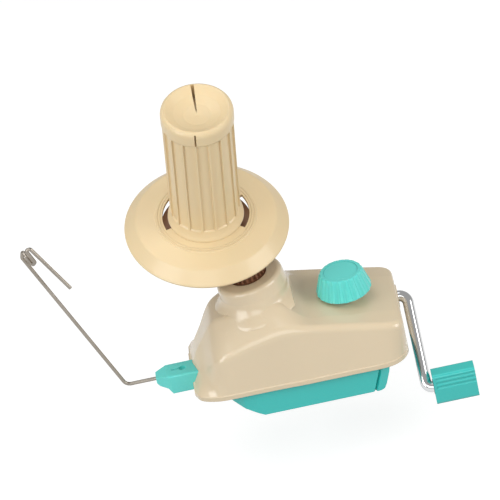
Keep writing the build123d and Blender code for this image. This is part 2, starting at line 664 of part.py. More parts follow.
def crank_grip():
    """Flat turquoise grip that turns on the rod's end, with shallow grooves."""
    frame = grip_frame().offset(END_FLOAT)
    outline = RectangleRounded(GRIP_THICK, GRIP_HEIGHT, 2.6)
    body = extrude(frame * outline, amount=GRIP_LENGTH)
    for side in (-1, 1):
        for share in (0.08, 0.22, 0.36):
            groove = Pos(side * (GRIP_THICK / 2 + 0.9), -side * share * GRIP_HEIGHT, 0) * Circle(1.5)
            body -= extrude(frame.offset(2.0) * groove, amount=GRIP_LENGTH + 1)
    body -= rod(5.2, -1, WASHER_T, frame)
    return body - rod(ROD_R + RUN, -1, GRIP_LENGTH - 2.6, frame)


def grip_washer():
    """Dark washer between the rod's bend and the grip."""
    frame = grip_frame()
    return rod(5.0, 0.1, WASHER_T, frame) - rod(ROD_R + SEATED, -1, 4, frame)


def crank_gear():
    """Large spur gear fixed on the crank rod."""
    at = Plane(origin=CRANK.origin, x_dir=(0, -CRANK_Y, LAY_Z - CRANK_Z), z_dir=(1, 0, 0))
    low = front(SPUR_AT)
    gear = spur_gear(at, CRANK_TEETH, low, low + SPUR_WIDTH - 1, ROD_R + SEATED)
    gear += rod(6.5, low + SPUR_WIDTH - 1, low + SPUR_WIDTH + 2, at) - rod(ROD_R + SEATED, 0, 99, at)
    return gear


def lay_pinion():
    """Small spur gear on the lay shaft."""
    at = Plane(origin=LAY.origin, x_dir=(0, CRANK_Y, CRANK_Z - LAY_Z), z_dir=(1, 0, 0))
    low = front(SPUR_AT) - 0.5
    return spur_gear(at, PINION_TEETH, low, low + SPUR_WIDTH, LAY_R + SEATED, gap_first=True)


LAY_CONE = cone_angle(LAY_BEVEL_TEETH, NECK_BEVEL_TEETH, 90 + NECK_LEAN)
NECK_CONE = cone_angle(NECK_BEVEL_TEETH, LAY_BEVEL_TEETH, 90 + NECK_LEAN)
LAY_BEVEL_R = NECK_BEVEL_R * LAY_BEVEL_TEETH / NECK_BEVEL_TEETH


def lay_bevel():
    """Large bevel gear on the front end of the lay shaft."""
    at = Plane(origin=APEX, x_dir=(0, 0, 1), z_dir=(1, 0, 0))
    teeth, height = bevel_teeth(at, LAY_BEVEL_TEETH, LAY_BEVEL_R, LAY_CONE, BEVEL_INNER, gap_first=True)
    teeth = teeth & rod(LAY_BEVEL_R + 0.5, 0, 20, at)
    gear = teeth + rod(LAY_BEVEL_R - 2.4, height - 0.05, height + 2, at) + rod(5.5, height, height + 5.5, at)
    return gear - rod(LAY_R + SEATED, -5, 30, at)


def lay_shaft():
    """Steel shaft of the pinion and the large bevel gear."""
    low = APEX.X + LAY_BEVEL_R / math.tan(math.radians(LAY_CONE)) * BEVEL_INNER - 0.8
    return rod(LAY_R, low, front(REAR_PLATE - PLATE) + 2, LAY)


def neck_bevel():
    """Bevel gear at the foot of the neck shaft."""
    at = Plane(origin=APEX, x_dir=NECK.x_dir, z_dir=NECK.z_dir)
    teeth, height = bevel_teeth(at, NECK_BEVEL_TEETH, NECK_BEVEL_R, NECK_CONE, BEVEL_INNER)
    top = LAY_DROP - NECK_TUBE_LENGTH - 1.5 - END_FLOAT
    gear = teeth + rod(6.0, height - 0.05, top, at)
    return gear - rod(SHAFT_R + SEATED, 0, 30, at)


def neck_shaft():
    """Steel shaft from the bevel gear up into the head."""
    at = Plane(origin=APEX, x_dir=NECK.x_dir, z_dir=NECK.z_dir)
    height = NECK_BEVEL_R / math.tan(math.radians(NECK_CONE)) * BEVEL_INNER
    return rod(SHAFT_R, height - 0.6, LAY_DROP + ARM_HUB_TOP - 3, at)


def sun_gear():
    """Fixed toothed ring in the neck's mouth."""
    at = Plane(origin=CROSSING, x_dir=HEAD.x_dir, z_dir=HEAD.z_dir * -1)
    teeth, height = bevel_teeth(at, SUN_TEETH, SUN_R, SUN_CONE, SUN_INNER)
    root = SUN_R * (1 - 2.6 / SUN_TEETH)
    ring = teeth + rod(root, -1, CROSS_HEIGHT - height + 0.2, NECK)
    ring += rod(MOUTH_R - 0.25, -MOUTH_DEPTH, SUN_LIFT - 1.1, NECK)
    return ring - rod(SHAFT_R + 0.6, -20, 20, NECK)


# --- head and cone ----------------------------------------------------------
def head_arm():
    """Tilted arm: hub on the neck shaft and collar around the cone's journal."""
    sun_top = CROSS_HEIGHT - (CROSS_HEIGHT - SUN_LIFT) * SUN_INNER
    low = sun_top + GAP
    arm = rod(ARM_HUB_R, low, ARM_HUB_TOP, HEAD)
    arm += rod(COLLAR_R, -COLLAR_LOW, -COLLAR_HIGH, CONE)
    corner = on_cone(-COLLAR_LOW, COLLAR_R)
    inner = on_cone(-COLLAR_LOW, JOURNAL_R)
    high = on_cone(-COLLAR_HIGH, COLLAR_R)
    high_inner = on_cone(-COLLAR_HIGH, JOURNAL_R)
    outline = [(0, low), (ARM_HUB_R - 0.5, low), corner, inner, high_inner, high, (0, ARM_HUB_TOP)]
    side = Plane(origin=HEAD.origin, x_dir=HEAD.x_dir, z_dir=HEAD.y_dir * -1)
    web = extrude(side * make_face(Polyline(*outline, close=True)), amount=ARM_WEB / 2, both=True)
    arm += web
    arm -= rod(SHAFT_R + SEATED, -5, ARM_HUB_TOP - 2.5, HEAD)
    return arm - rod(JOURNAL_R + RUN, -60, 20, CONE)


def on_cone(height, inward):
    """Head-plane point at a height along the cone axis, inward to the neck axis."""
    u = FLANGE_DROP * TILT_S - height * TILT_S - inward * TILT_C
    v = CROSS_HEIGHT - FLANGE_DROP * TILT_C + height * TILT_C - inward * TILT_S
    return (u, v)


HUB_CONE = cone_angle(HUB_TEETH, SUN_TEETH, HEAD_TILT)
HUB_R = SUN_R * HUB_TEETH / SUN_TEETH
HUB_WIDE = FLANGE_DROP - HUB_R / math.tan(math.radians(HUB_CONE))
HUB_NARROW = FLANGE_DROP - HUB_R / math.tan(math.radians(HUB_CONE)) * SUN_INNER
DISH_LOW = DOME - FLANGE_T


def hub_gear():
    """Large brown bevel gear under the flange that rolls on the sun gear."""
    at = Plane(origin=CROSSING, x_dir=ACROSS * -1, z_dir=CONE_AXIS * -1)
    teeth, height = bevel_teeth(at, HUB_TEETH, HUB_R, HUB_CONE, SUN_INNER, gap_first=True)
    return teeth - rod(2.5 + SEATED, -60, 0, CONE)


def cone_hub():
    """Journal that turns in the arm's collar and carries flange and cone."""
    low = HUB_NARROW
    body = turned([
        (0, low), (JOURNAL_R, low), (JOURNAL_R, -COLLAR_HIGH + END_FLOAT), (14, -COLLAR_HIGH + END_FLOAT),
        (16, -WEB_DROP - WEB_T), (WEB_R, -WEB_DROP - WEB_T), (WEB_R, -WEB_DROP), (18, -WEB_DROP),
        (18, DISH_LOW), (11.9, DISH_LOW), (11.9, DOME), (0, DOME)], CONE)
    return body - rod(2.5 + SEATED, low - 1, low + 15, CONE)


def hub_screw():
    """Screw that holds the gear to the hub."""
    body = rod(2.5, HUB_WIDE, HUB_NARROW + 12, CONE) + rod(5.0, HUB_WIDE - 3.0, HUB_WIDE, CONE)
    slot = CONE.offset(HUB_WIDE - 3.0) * Rectangle(1.2, 12)
    return body - extrude(slot, amount=1.2)


def arc_slot(inner, outer, sweep_deg, middle_deg):
    """Face of an arc slot about the origin."""
    half = math.radians(sweep_deg) / 2
    middle = math.radians(middle_deg)

    def at(radius, angle):
        return (radius * math.cos(middle + angle), radius * math.sin(middle + angle))

    far = ThreePointArc(at(outer, -half), at(outer, 0), at(outer, half))
    near = ThreePointArc(at(inner, half), at(inner, 0), at(inner, -half))
    end = Line(at(outer, half), at(inner, half))
    start = Line(at(inner, -half), at(outer, -half))
    return make_face(far + end + near + start)


def flange_disc():
    """Cream flange: shallow dome, step ring and falling bevel."""
    low = -BEVEL_FALL
    top = [(12.0, DOME), (STEP_R - 0.3, DOME), (STEP_R, DOME - 0.5), (BEVEL_R - 1, 0.15), (BEVEL_R, 0),
           (BEVEL_R + 1, -0.5), (FLANGE_R - 0.9, low + 0.6), (FLANGE_R, low - 0.5), (FLANGE_R - 0.2, low - 1.6)]
    under = [(FLANGE_R - 1.2, low - 2.0), (FLANGE_R - 2.0, low - 1.4), (BEVEL_R - 0.5, -FLANGE_T - 0.4),
             (STEP_R, DISH_LOW - 0.2), (20, DISH_LOW), (12.0, DISH_LOW)]
    disc = turned(top + under, CONE)
    for middle in SLOT_MIDDLES:
        disc -= extrude(CONE.offset(-3) * arc_slot(SLOT_IN, SLOT_OUT, SLOT_SWEEP, middle), amount=9)
    return disc


def winding_cone():
    """Ribbed hollow cone with a dished, slit top."""
    shaft_low, shaft_high = CONE_LOW_R - RIB_HIGH, CONE_HIGH_R - RIB_HIGH
    base, band = DOME + 9, CONE_TOP - CONE_BAND
    outer = [(25.4, DOME + 0.1), (25.2, DOME + 1.4), (24.3, DOME + 3.4), (CONE_LOW_R + 0.3, DOME + 6),
             (CONE_LOW_R, base - 1), (shaft_low, base), (shaft_high, band - 1.2), (CONE_BAND_R - 0.5, band),
             (CONE_BAND_R, band + 1.5), (CONE_BAND_R, CONE_TOP - 4.0), (CONE_BAND_R - 0.4, CONE_TOP - 2.2),
             (CONE_BAND_R - 1.3, CONE_TOP - 0.8), (CONE_BAND_R - 2.6, CONE_TOP), (CONE_BAND_R - 3.8, CONE_TOP - 0.5),
             (15.5, CONE_TOP - CONE_DISH * 0.55), (9, CONE_TOP - CONE_DISH * 0.88), (0, CONE_TOP - CONE_DISH)]
    deck = CONE_TOP - CONE_DISH - CONE_WALL
    inner = [(0, deck), (shaft_high - CONE_WALL - 1, deck + 0.6), (shaft_high - CONE_WALL, deck - 1),
             (shaft_low - CONE_WALL, DOME + 0.1)]
    cone = turned(outer + inner, CONE)
    for i in range(RIBS):
        rib = CONE * Rot(0, 0, 360 * (i + 0.5) / RIBS) * Pos(shaft_low - 0.6 + 0.8, 0, (base + band) / 2)
        cone += rib * Box(1.6, RIB_WIDE, band - base + 1.5)
    edge = CONE_BAND_R - 2.4
    wedge = Polyline((0, 2.5), (-0.4, 4), (-SLIT, edge), (SLIT, edge), (0.4, 4), close=True)
    cone -= extrude(CONE.offset(CONE_TOP - CONE_BAND + 1) * make_face(wedge), amount=CONE_BAND + 5)
    near = CONE * Rot(0, 0, -100) * Pos(CONE_BAND_R, 0, CONE_TOP - CONE_BAND / 2 - 0.5)
    return cone - near * Box(8, SLIT, CONE_BAND - 2)


def cone_core():
    """Inner core that centres the cone on its hub."""
    r = CONE_HIGH_R - RIB_HIGH - CONE_WALL - 0.15
    low = DOME + 0.1
    high = CONE_TOP - CONE_DISH - CONE_WALL - 0.4
    return turned([(3, low), (r, low), (r, low + 2.5), (9, low + 3.5), (9, high - 3.5), (r - 1.5, high - 2),
                   (r - 1.5, high), (6, high), (6, low + 6), (3, low + 6)], CONE)


# --- fasteners --------------------------------------------------------------
def small_screw(x, y, head_at, tip):
    """Pan-head screw from its head's outer face to its tip, up or down."""
    at = upright(x, y)
    way = 1 if tip > head_at else -1
    head = rod(3.1, *sorted((head_at, head_at + way * 1.4)), at)
    return head + rod(1.2, *sorted((head_at + way * 1.2, tip)), at)


# --- write every piece ------------------------------------------------------
os.makedirs("parts", exist_ok=True)
save("upper_cover", upper_cover())
save("base_plate", base_plate())
save("seat_pad", seat_pad())
save("gear_frame", gear_frame())
save("guide_holder", guide_holder())
save("guide_wire", guide_wire())
save("clamp_jaw", clamp_jaw())
save("jaw_pad", jaw_pad())
save("jaw_nut", jaw_nut())
save("jaw_guide_rods", *jaw_guide_rods())
save("clamp_screw", clamp_screw())
save("clamp_knob", clamp_knob())
save("knob_cap", knob_cap())
save("top_bush", top_bush())
save("crank_rod", crank_rod())
save("crank_grip", crank_grip())
save("grip_washer", grip_washer())
save("crank_gear", crank_gear())
save("crank_rear_bush", bush(CRANK, ROD_R, CRANK_BUSH_R, SCREW_X + REAR_REACH - 6.5, SCREW_X + REAR_REACH))
save("crank_front_bush", bush(CRANK, ROD_R, CRANK_BUSH_R, front(FRONT_PLATE), front(FRONT_PLATE - PLATE)))
save("crank_middle_bush", bush(CRANK, ROD_R, CRANK_BUSH_R, front(REAR_PLATE), front(REAR_PLATE - PLATE)))
save("crank_clip", bush(CRANK, ROD_R - RUN + SEATED, 6.5, SCREW_X + REAR_REACH - 9.0, SCREW_X + REAR_REACH - 7.0))
save("lay_shaft", lay_shaft())
save("lay_pinion", lay_pinion())
save("lay_bevel", lay_bevel())
save("lay_bushes",
     bush(LAY, LAY_R, LAY_BUSH_R, front(FRONT_PLATE), front(FRONT_PLATE - PLATE)),
     bush(LAY, LAY_R, LAY_BUSH_R, front(REAR_PLATE), front(REAR_PLATE - PLATE)))
save("neck_bevel", neck_bevel())
save("neck_shaft", neck_shaft())
UPPER = -MOUTH_DEPTH - 8
save("neck_upper_bush", bush(NECK, SHAFT_R, NECK_BUSH_R, UPPER, -MOUTH_DEPTH))
save("neck_lower_bush", bush(NECK, SHAFT_R, NECK_BUSH_R, -NECK_TUBE_LENGTH, 7 - NECK_TUBE_LENGTH, flange=10.0))
save("sun_gear", sun_gear())
save("head_arm", head_arm())
save("cone_hub", cone_hub())
save("hub_gear", hub_gear())
save("hub_screw", hub_screw())
save("flange_disc", flange_disc())
save("winding_cone", winding_cone())
save("cone_core", cone_core())
save("case_screws", *[small_screw(x, y, SKIRT_Z + 0.2, SKIRT_Z + 10) for x, y in POSTS])
save("frame_screws", *[small_screw(x, y, PLATE_TOP + 3.62, PAD + 0.4) for x, y in FRAME_SCREWS])
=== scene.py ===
"""Looks of the hand-cranked yarn cone winder, dressed on its CAD frame."""
from __future__ import annotations

import json
import logging
import math
from dataclasses import dataclass
from enum import Enum

import bmesh
import bpy
from mathutils import Matrix, Vector

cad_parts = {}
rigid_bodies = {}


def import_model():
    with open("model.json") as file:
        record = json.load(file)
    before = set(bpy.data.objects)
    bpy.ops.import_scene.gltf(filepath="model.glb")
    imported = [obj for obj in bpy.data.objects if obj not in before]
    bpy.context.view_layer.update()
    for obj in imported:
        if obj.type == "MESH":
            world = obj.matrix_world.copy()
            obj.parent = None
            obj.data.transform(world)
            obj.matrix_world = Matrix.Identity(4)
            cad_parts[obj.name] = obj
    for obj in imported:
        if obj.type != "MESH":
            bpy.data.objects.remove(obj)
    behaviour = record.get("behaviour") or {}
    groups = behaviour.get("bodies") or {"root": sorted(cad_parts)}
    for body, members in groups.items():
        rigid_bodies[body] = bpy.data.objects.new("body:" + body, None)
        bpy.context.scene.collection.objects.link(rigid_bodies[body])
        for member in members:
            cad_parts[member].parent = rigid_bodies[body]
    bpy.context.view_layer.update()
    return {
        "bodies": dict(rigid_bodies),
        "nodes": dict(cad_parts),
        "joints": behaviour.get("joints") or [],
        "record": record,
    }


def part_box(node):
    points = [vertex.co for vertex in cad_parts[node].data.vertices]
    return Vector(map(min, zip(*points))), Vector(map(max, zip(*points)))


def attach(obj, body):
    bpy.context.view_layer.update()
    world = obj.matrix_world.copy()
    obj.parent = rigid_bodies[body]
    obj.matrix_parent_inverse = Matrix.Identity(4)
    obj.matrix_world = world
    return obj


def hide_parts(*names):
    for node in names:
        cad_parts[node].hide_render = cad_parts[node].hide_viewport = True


log = logging.getLogger("yarn_winder")
MM = 0.001
MIX_FACTOR, MIX_LOW, MIX_HIGH = 0, 6, 7  # a colour Mix node's inputs
MIX_RESULT = 2  # and its output
EDGE_SAMPLES = 4
Colour = tuple[float, float, float]


def linear(hex_code: str) -> Colour:
    """Turn a colour as seen on screen into the scene's linear values.

    Args:
        hex_code: six hexadecimal digits.

    Returns:
        Linear red, green and blue.
    """
    parts = [int(hex_code[i:i + 2], 16) / 255 for i in (0, 2, 4)]
    red, green, blue = (c / 12.92 if c <= 0.04045 else ((c + 0.055) / 1.055) ** 2.4 for c in parts)
    return red, green, blue


class Sheen(Enum):
    """How a moulded surface was finished in its tool."""

    GLOSSY = 0.26
    SATIN = 0.40
    MATT = 0.58


# --- shader node groups -----------------------------------------------------
@dataclass(frozen=True)
class GroupSocket:
    """One named socket of a node group."""

    name: str
    kind: str
    value: float = 0.0


def new_group(name: str, inputs: list[GroupSocket], outputs: list[GroupSocket]) -> bpy.types.NodeTree:
    """Make an empty shader node group with its sockets.

    Args:
        name: the group's name.
        inputs: the sockets on the way in.
        outputs: the sockets on the way out.

    Returns:
        The new node tree, with its group input and output nodes.
    """
    tree = bpy.data.node_groups.new(name, "ShaderNodeTree")
    for way, sockets in (("INPUT", inputs), ("OUTPUT", outputs)):
        for one in sockets:
            made = tree.interface.new_socket(name=one.name, in_out=way, socket_type=one.kind)
            if way == "INPUT" and one.kind == "NodeSocketFloat":
                made.default_value = one.value
    tree.nodes.new("NodeGroupInput").name = "in"
    tree.nodes.new("NodeGroupOutput").name = "out"
    return tree


def new_node(tree: bpy.types.NodeTree, kind: str, **values: float | tuple) -> bpy.types.Node:
    """Add a node to a tree and set its inputs.

    Args:
        tree: the node tree.
        kind: the node's type, without its "ShaderNode" start.
        values: the inputs' values, by their names in small letters.

    Returns:
        The new node.
    """
    node = tree.nodes.new("ShaderNode" + kind)
    for name, value in values.items():
        node.inputs[name.replace("_", " ").title()].default_value = value
    return node


def calculate(tree: bpy.types.NodeTree, operation: str, first: bpy.types.NodeSocket,
              second: bpy.types.NodeSocket | float) -> bpy.types.Node:
    """Add a Math node that works on a socket and a second socket or number.

    Args:
        tree: the node tree.
        operation: the node's operation.
        first: the first value's socket.
        second: the second value's socket, or the number itself.

    Returns:
        The new node.
    """
    node = new_node(tree, "Math")
    node.operation = operation
    tree.links.new(first, node.inputs[0])
    if isinstance(second, float):
        node.inputs[1].default_value = second
    else:
        tree.links.new(second, node.inputs[1])
    return node


def mix_colours(tree: bpy.types.NodeTree, mask: bpy.types.NodeSocket, low: Colour,
                high: Colour) -> bpy.types.NodeSocket:
    """Blend two colours by a mask.

    Args:
        tree: the node tree.
        mask: the socket that says how much of the second colour shows.
        low: the colour where the mask is 0.
        high: the colour where the mask is 1.

    Returns:
        The blended colour's socket.
    """
    mix = new_node(tree, "Mix")
    mix.data_type = "RGBA"
    mix.inputs[MIX_LOW].default_value = (*low, 1.0)
    mix.inputs[MIX_HIGH].default_value = (*high, 1.0)
    tree.links.new(mask, mix.inputs[MIX_FACTOR])
    return mix.outputs[MIX_RESULT]


@dataclass(frozen=True)
class MouldGrain:
    """Flow marks and fine grain of moulded plastic: a height and a shade mask."""

    fine_detail: float = 4.0
    broad_scale: float = 14.0
    broad_detail: float = 2.0

    def make(self) -> bpy.types.NodeTree:
        """Build the group.

        Returns:
            The group's node tree.
        """
        tree = new_group(
            "mould_grain",
            [GroupSocket("Scale", "NodeSocketFloat", 400.0), GroupSocket("Flow", "NodeSocketFloat", 0.3)],
            [GroupSocket("Height", "NodeSocketFloat"), GroupSocket("Shade", "NodeSocketFloat")])
        nodes, links = tree.nodes, tree.links
        place = new_node(tree, "TexCoord")
        fine = new_node(tree, "TexNoise", detail=self.fine_detail)
        broad = new_node(tree, "TexNoise", scale=self.broad_scale, detail=self.broad_detail)
        for noise in (fine, broad):
            links.new(place.outputs["Object"], noise.inputs["Vector"])
        links.new(nodes["in"].outputs["Scale"], fine.inputs["Scale"])
        weighed = calculate(tree, "MULTIPLY", broad.outputs["Fac"], nodes["in"].outputs["Flow"])
        height = calculate(tree, "ADD", fine.outputs["Fac"], weighed.outputs[0])
        links.new(height.outputs[0], nodes["out"].inputs["Height"])
        links.new(broad.outputs["Fac"], nodes["out"].inputs["Shade"])
        return tree


@dataclass(frozen=True)
class HandlingMarks:
    """Fine rub marks from handling: a mask from stretched noise."""

    turn: tuple[float, float, float] = (0.3, 0.5, 0.9)
    stretch: tuple[float, float, float] = (1.0, 6.0, 2.0)
    detail: float = 6.0
    roughness: float = 0.6
    contrast: float = 4.0

    def make(self) -> bpy.types.NodeTree:
        """Build the group.

        Returns:
            The group's node tree.
        """
        tree = new_group(
            "handling_marks",
            [GroupSocket("Scale", "NodeSocketFloat", 60.0),
             GroupSocket("Threshold", "NodeSocketFloat", 0.55)],
            [GroupSocket("Mask", "NodeSocketFloat")])
        nodes, links = tree.nodes, tree.links
        place = new_node(tree, "TexCoord")
        stretched = new_node(tree, "Mapping", rotation=self.turn, scale=self.stretch)
        noise = new_node(tree, "TexNoise", detail=self.detail, roughness=self.roughness)
        links.new(place.outputs["Object"], stretched.inputs["Vector"])
        links.new(stretched.outputs[0], noise.inputs["Vector"])
        links.new(nodes["in"].outputs["Scale"], noise.inputs["Scale"])
        above = calculate(tree, "SUBTRACT", noise.outputs["Fac"], nodes["in"].outputs["Threshold"])
        mask = calculate(tree, "MULTIPLY", above.outputs[0], self.contrast)
        mask.use_clamp = True
        links.new(mask.outputs[0], nodes["out"].inputs["Mask"])
        return tree


@dataclass(frozen=True)
class DrawnLines:
    """Fine drawing lines and stains of wire and rod: a height and a mask."""

    line_detail: float = 3.0
    stain_scale: float = 45.0
    stain_detail: float = 5.0

    def make(self) -> bpy.types.NodeTree:
        """Build the group.

        Returns:
            The group's node tree.
        """
        tree = new_group(
            "drawn_lines",
            [GroupSocket("Scale", "NodeSocketFloat", 900.0)],
            [GroupSocket("Height", "NodeSocketFloat"), GroupSocket("Mask", "NodeSocketFloat")])
        nodes, links = tree.nodes, tree.links
        place = new_node(tree, "TexCoord")
        lines = new_node(tree, "TexNoise", detail=self.line_detail)
        stain = new_node(tree, "TexNoise", scale=self.stain_scale, detail=self.stain_detail)
        for noise in (lines, stain):
            links.new(place.outputs["Object"], noise.inputs["Vector"])
        links.new(nodes["in"].outputs["Scale"], lines.inputs["Scale"])
        links.new(lines.outputs["Fac"], nodes["out"].inputs["Height"])
        links.new(stain.outputs["Fac"], nodes["out"].inputs["Mask"])
        return tree


class Groups:
    """The shared node groups, each built once."""

    _made: dict[str, bpy.types.NodeTree] = {}
    _kinds = {"mould_grain": MouldGrain(), "handling_marks": HandlingMarks(), "drawn_lines": DrawnLines()}

    @classmethod
    def get(cls, name: str) -> bpy.types.NodeTree:
        """Find a shared group, making it on first use.

        Args:
            name: the group's name.

        Returns:
            The group's node tree.
        """
        if name not in cls._made:
            cls._made[name] = cls._kinds[name].make()
        return cls._made[name]


# --- finishes ---------------------------------------------------------------
@dataclass(frozen=True)
class Finish:
    """What every finish has: a name, a colour and softened edges."""

    name: str
    colour: Colour
    edge_radius: float = 0.4 * MM

    def _start(self) -> tuple[bpy.types.Material, bpy.types.Node]:
        """Start the finish's material.

        Returns:
            The material and its main shader.
        """
        material = bpy.data.materials.new(self.name)
        material.use_nodes = True
        return material, material.node_tree.nodes["Principled BSDF"]

    def _group(self, tree: bpy.types.NodeTree, name: str, **values: float) -> bpy.types.Node:
        """Place a shared group in the material.

        Args:
            tree: the material's node tree.
            name: the group's name.
            values: the group's inputs, by their names in small letters.

        Returns:
            The group's node.
        """
        node = new_node(tree, "Group")
        node.node_tree = Groups.get(name)
        for key, value in values.items():
            node.inputs[key.capitalize()].default_value = value
        return node

    def _range(self, tree: bpy.types.NodeTree, mask: bpy.types.NodeSocket,
               low: float, high: float) -> bpy.types.NodeSocket:
        """Map a mask from 0..1 to another range.

        Args:
            tree: the material's node tree.
            mask: the mask's socket.
            low: the value where the mask is 0.
            high: the value where the mask is 1.

        Returns:
            The mapped value's socket.
        """
        node = new_node(tree, "MapRange", to_min=low, to_max=high)
        tree.links.new(mask, node.inputs["Value"])
        return node.outputs["Result"]

    def _relief(self, tree: bpy.types.NodeTree, height: bpy.types.NodeSocket,
                strength: float, distance: float) -> None:
        """Soften the edges and raise the grain through the shader's normal.

        Args:
            tree: the material's node tree.
            height: the grain's height socket.
            strength: how much of the grain shows.
            distance: the grain's depth.
        """
        edges = new_node(tree, "Bevel", radius=self.edge_radius)
        edges.samples = EDGE_SAMPLES
        bump = new_node(tree, "Bump", strength=strength, distance=distance)
        tree.links.new(edges.outputs["Normal"], bump.inputs["Normal"])
        tree.links.new(height, bump.inputs["Height"])
        tree.links.new(bump.outputs["Normal"], tree.nodes["Principled BSDF"].inputs["Normal"])


@dataclass(frozen=True)
class MouldedPlastic(Finish):
    """Injection-moulded plastic with flow shading and rub marks."""

    sheen: Sheen = Sheen.GLOSSY
    coat: float = 0.35
    coat_roughness: float = 0.08
    scatter: float = 0.0
    scatter_radius: Colour = (1.0, 0.7, 0.45)
    scatter_depth: float = 2.5 * MM
    grain: float = 500.0
    grain_strength: float = 0.035
    grain_depth: float = 0.2 * MM
    flow: float = 0.25
    flow_shade: float = 0.03
    marks: float = 38.0
    marks_threshold: float = 0.6
    marks_roughness: float = 0.04

    def make(self) -> bpy.types.Material:
        """Build the material.

        Returns:
            The new material.
        """
        material, shader = self._start()
        tree = material.node_tree
        grain = self._group(tree, "mould_grain", scale=self.grain, flow=self.flow)
        marks = self._group(tree, "handling_marks", scale=self.marks, threshold=self.marks_threshold)
        low: Colour = tuple(c * (1 - self.flow_shade) for c in self.colour)
        high: Colour = tuple(min(1.0, c * (1 + self.flow_shade)) for c in self.colour)
        shade = mix_colours(tree, grain.outputs["Shade"], low, high)
        rough = self.sheen.value
        worn = self._range(tree, marks.outputs["Mask"], rough, rough + self.marks_roughness)
        tree.links.new(shade, shader.inputs["Base Color"])
        tree.links.new(worn, shader.inputs["Roughness"])
        self._relief(tree, grain.outputs["Height"], self.grain_strength, self.grain_depth)
        shader.inputs["Coat Weight"].default_value = self.coat
        shader.inputs["Coat Roughness"].default_value = self.coat_roughness
        if self.scatter:
            shader.inputs["Subsurface Weight"].default_value = self.scatter
            shader.inputs["Subsurface Radius"].default_value = self.scatter_radius
            shader.inputs["Subsurface Scale"].default_value = self.scatter_depth
        return material


@dataclass(frozen=True)
class WorkedMetal(Finish):
    """Metal with drawing lines and faint stains."""

    roughness: float = 0.2
    clean_share: float = 0.8
    stained_share: float = 1.4
    stain: Colour = (0.2, 0.18, 0.16)
    lines: float = 900.0
    line_strength: float = 0.05
    line_depth: float = 0.1 * MM

    def make(self) -> bpy.types.Material:
        """Build the material.

        Returns:
            The new material.
        """
        material, shader = self._start()
        tree = material.node_tree
        drawn = self._group(tree, "drawn_lines", scale=self.lines)
        shade = mix_colours(tree, drawn.outputs["Mask"], self.colour, self.stain)
        worn = self._range(tree, drawn.outputs["Mask"], self.roughness * self.clean_share,
                           self.roughness * self.stained_share)
        tree.links.new(shade, shader.inputs["Base Color"])
        tree.links.new(worn, shader.inputs["Roughness"])
        self._relief(tree, drawn.outputs["Height"], self.line_strength, self.line_depth)
        shader.inputs["Metallic"].default_value = 1.0
        return material


@dataclass(frozen=True)
class MouldedRubber(Finish):
    """Dull rubber with a dusty bloom."""

    grain: float = 900.0
    grain_strength: float = 0.3
    grain_depth: float = 0.3 * MM
    flow: float = 0.1
    marks: float = 90.0
    marks_threshold: float = 0.5
    dust_gain: float = 2.2
    dust: float = 0.01
    roughness: tuple[float, float] = (0.7, 0.9)

    def make(self) -> bpy.types.Material:
        """Build the material.

        Returns:
            The new material.
        """
        material, shader = self._start()
        tree = material.node_tree
        grain = self._group(tree, "mould_grain", scale=self.grain, flow=self.flow)
        marks = self._group(tree, "handling_marks", scale=self.marks, threshold=self.marks_threshold)
        dusty: Colour = tuple(min(1.0, c * self.dust_gain + self.dust) for c in self.colour)
        shade = mix_colours(tree, marks.outputs["Mask"], self.colour, dusty)
        tree.links.new(shade, shader.inputs["Base Color"])
        tree.links.new(self._range(tree, grain.outputs["Shade"], *self.roughness), shader.inputs["Roughness"])
        self._relief(tree, grain.outputs["Height"], self.grain_strength, self.grain_depth)
        return material


CREAM = MouldedPlastic("cream_cover_plastic", linear("DFCDAE"), sheen=Sheen.GLOSSY, coat=0.5, scatter=0.08)
CREAM_CONE = MouldedPlastic("cream_cone_plastic", linear("EAD3A8"), sheen=Sheen.SATIN, coat=0.2, scatter=0.12)
TURQUOISE = MouldedPlastic("turquoise_plastic", linear("34C4BE"), sheen=Sheen.GLOSSY, coat=0.5, scatter=0.05)
# painted light: a lighter copy of the turquoise for the knob, its cap and the guide holder, which catch more
# of the lamps' light
TURQUOISE_PAINTED_LIGHT = MouldedPlastic("turquoise_painted_light_plastic", linear("62DED6"), sheen=Sheen.GLOSSY, coat=0.6,
                                scatter=0.08)
BROWN = MouldedPlastic("brown_gear_plastic", linear("7E5236"), sheen=Sheen.SATIN, coat=0.1, flow_shade=0.15)
# painted shade: the cream hub's web under the flange is coloured brown to stand in for the shaded cavity seen
# through the flange's slots
HUB_PAINTED_SHADE = MouldedPlastic("hub_painted_shade_brown", linear("B78D74"), sheen=Sheen.SATIN, coat=0.1, flow_shade=0.1)
BLACK = MouldedPlastic("dark_plastic", linear("2A2622"), sheen=Sheen.SATIN, coat=0.0)
FRAME_PLASTIC = MouldedPlastic("frame_plastic", linear("CDBFA4"), sheen=Sheen.MATT, coat=0.0)
CHROME = WorkedMetal("chrome_rod", linear("D9DBDE"), roughness=0.09, stain=linear("C3C6CA"),
                     line_strength=0.01)
STEEL = WorkedMetal("drawn_steel", linear("B9B2A8"), roughness=0.30, stain=linear("8E867C"),
                    line_strength=0.12)
BRASS = WorkedMetal("bush_brass", linear("C9A25B"), roughness=0.28, stain=linear("A98245"),
                    line_strength=0.08)
RUBBER = MouldedRubber("pad_rubber", linear("26262A"))


def dress(frame: dict, finish: Finish, *nodes: str) -> None:
    """Give CAD nodes a finish in place of their plain material.

    Args:
        frame: the loaded frame.
        finish: the finish to build or reuse.
        nodes: the CAD nodes' names.
    """
    material = bpy.data.materials.get(finish.name) or finish.make()
    for name in nodes:
        for one in frame["nodes"][name].material_slots:
            one.material = material
        log.info("dressed %s with %s", name, finish.name)


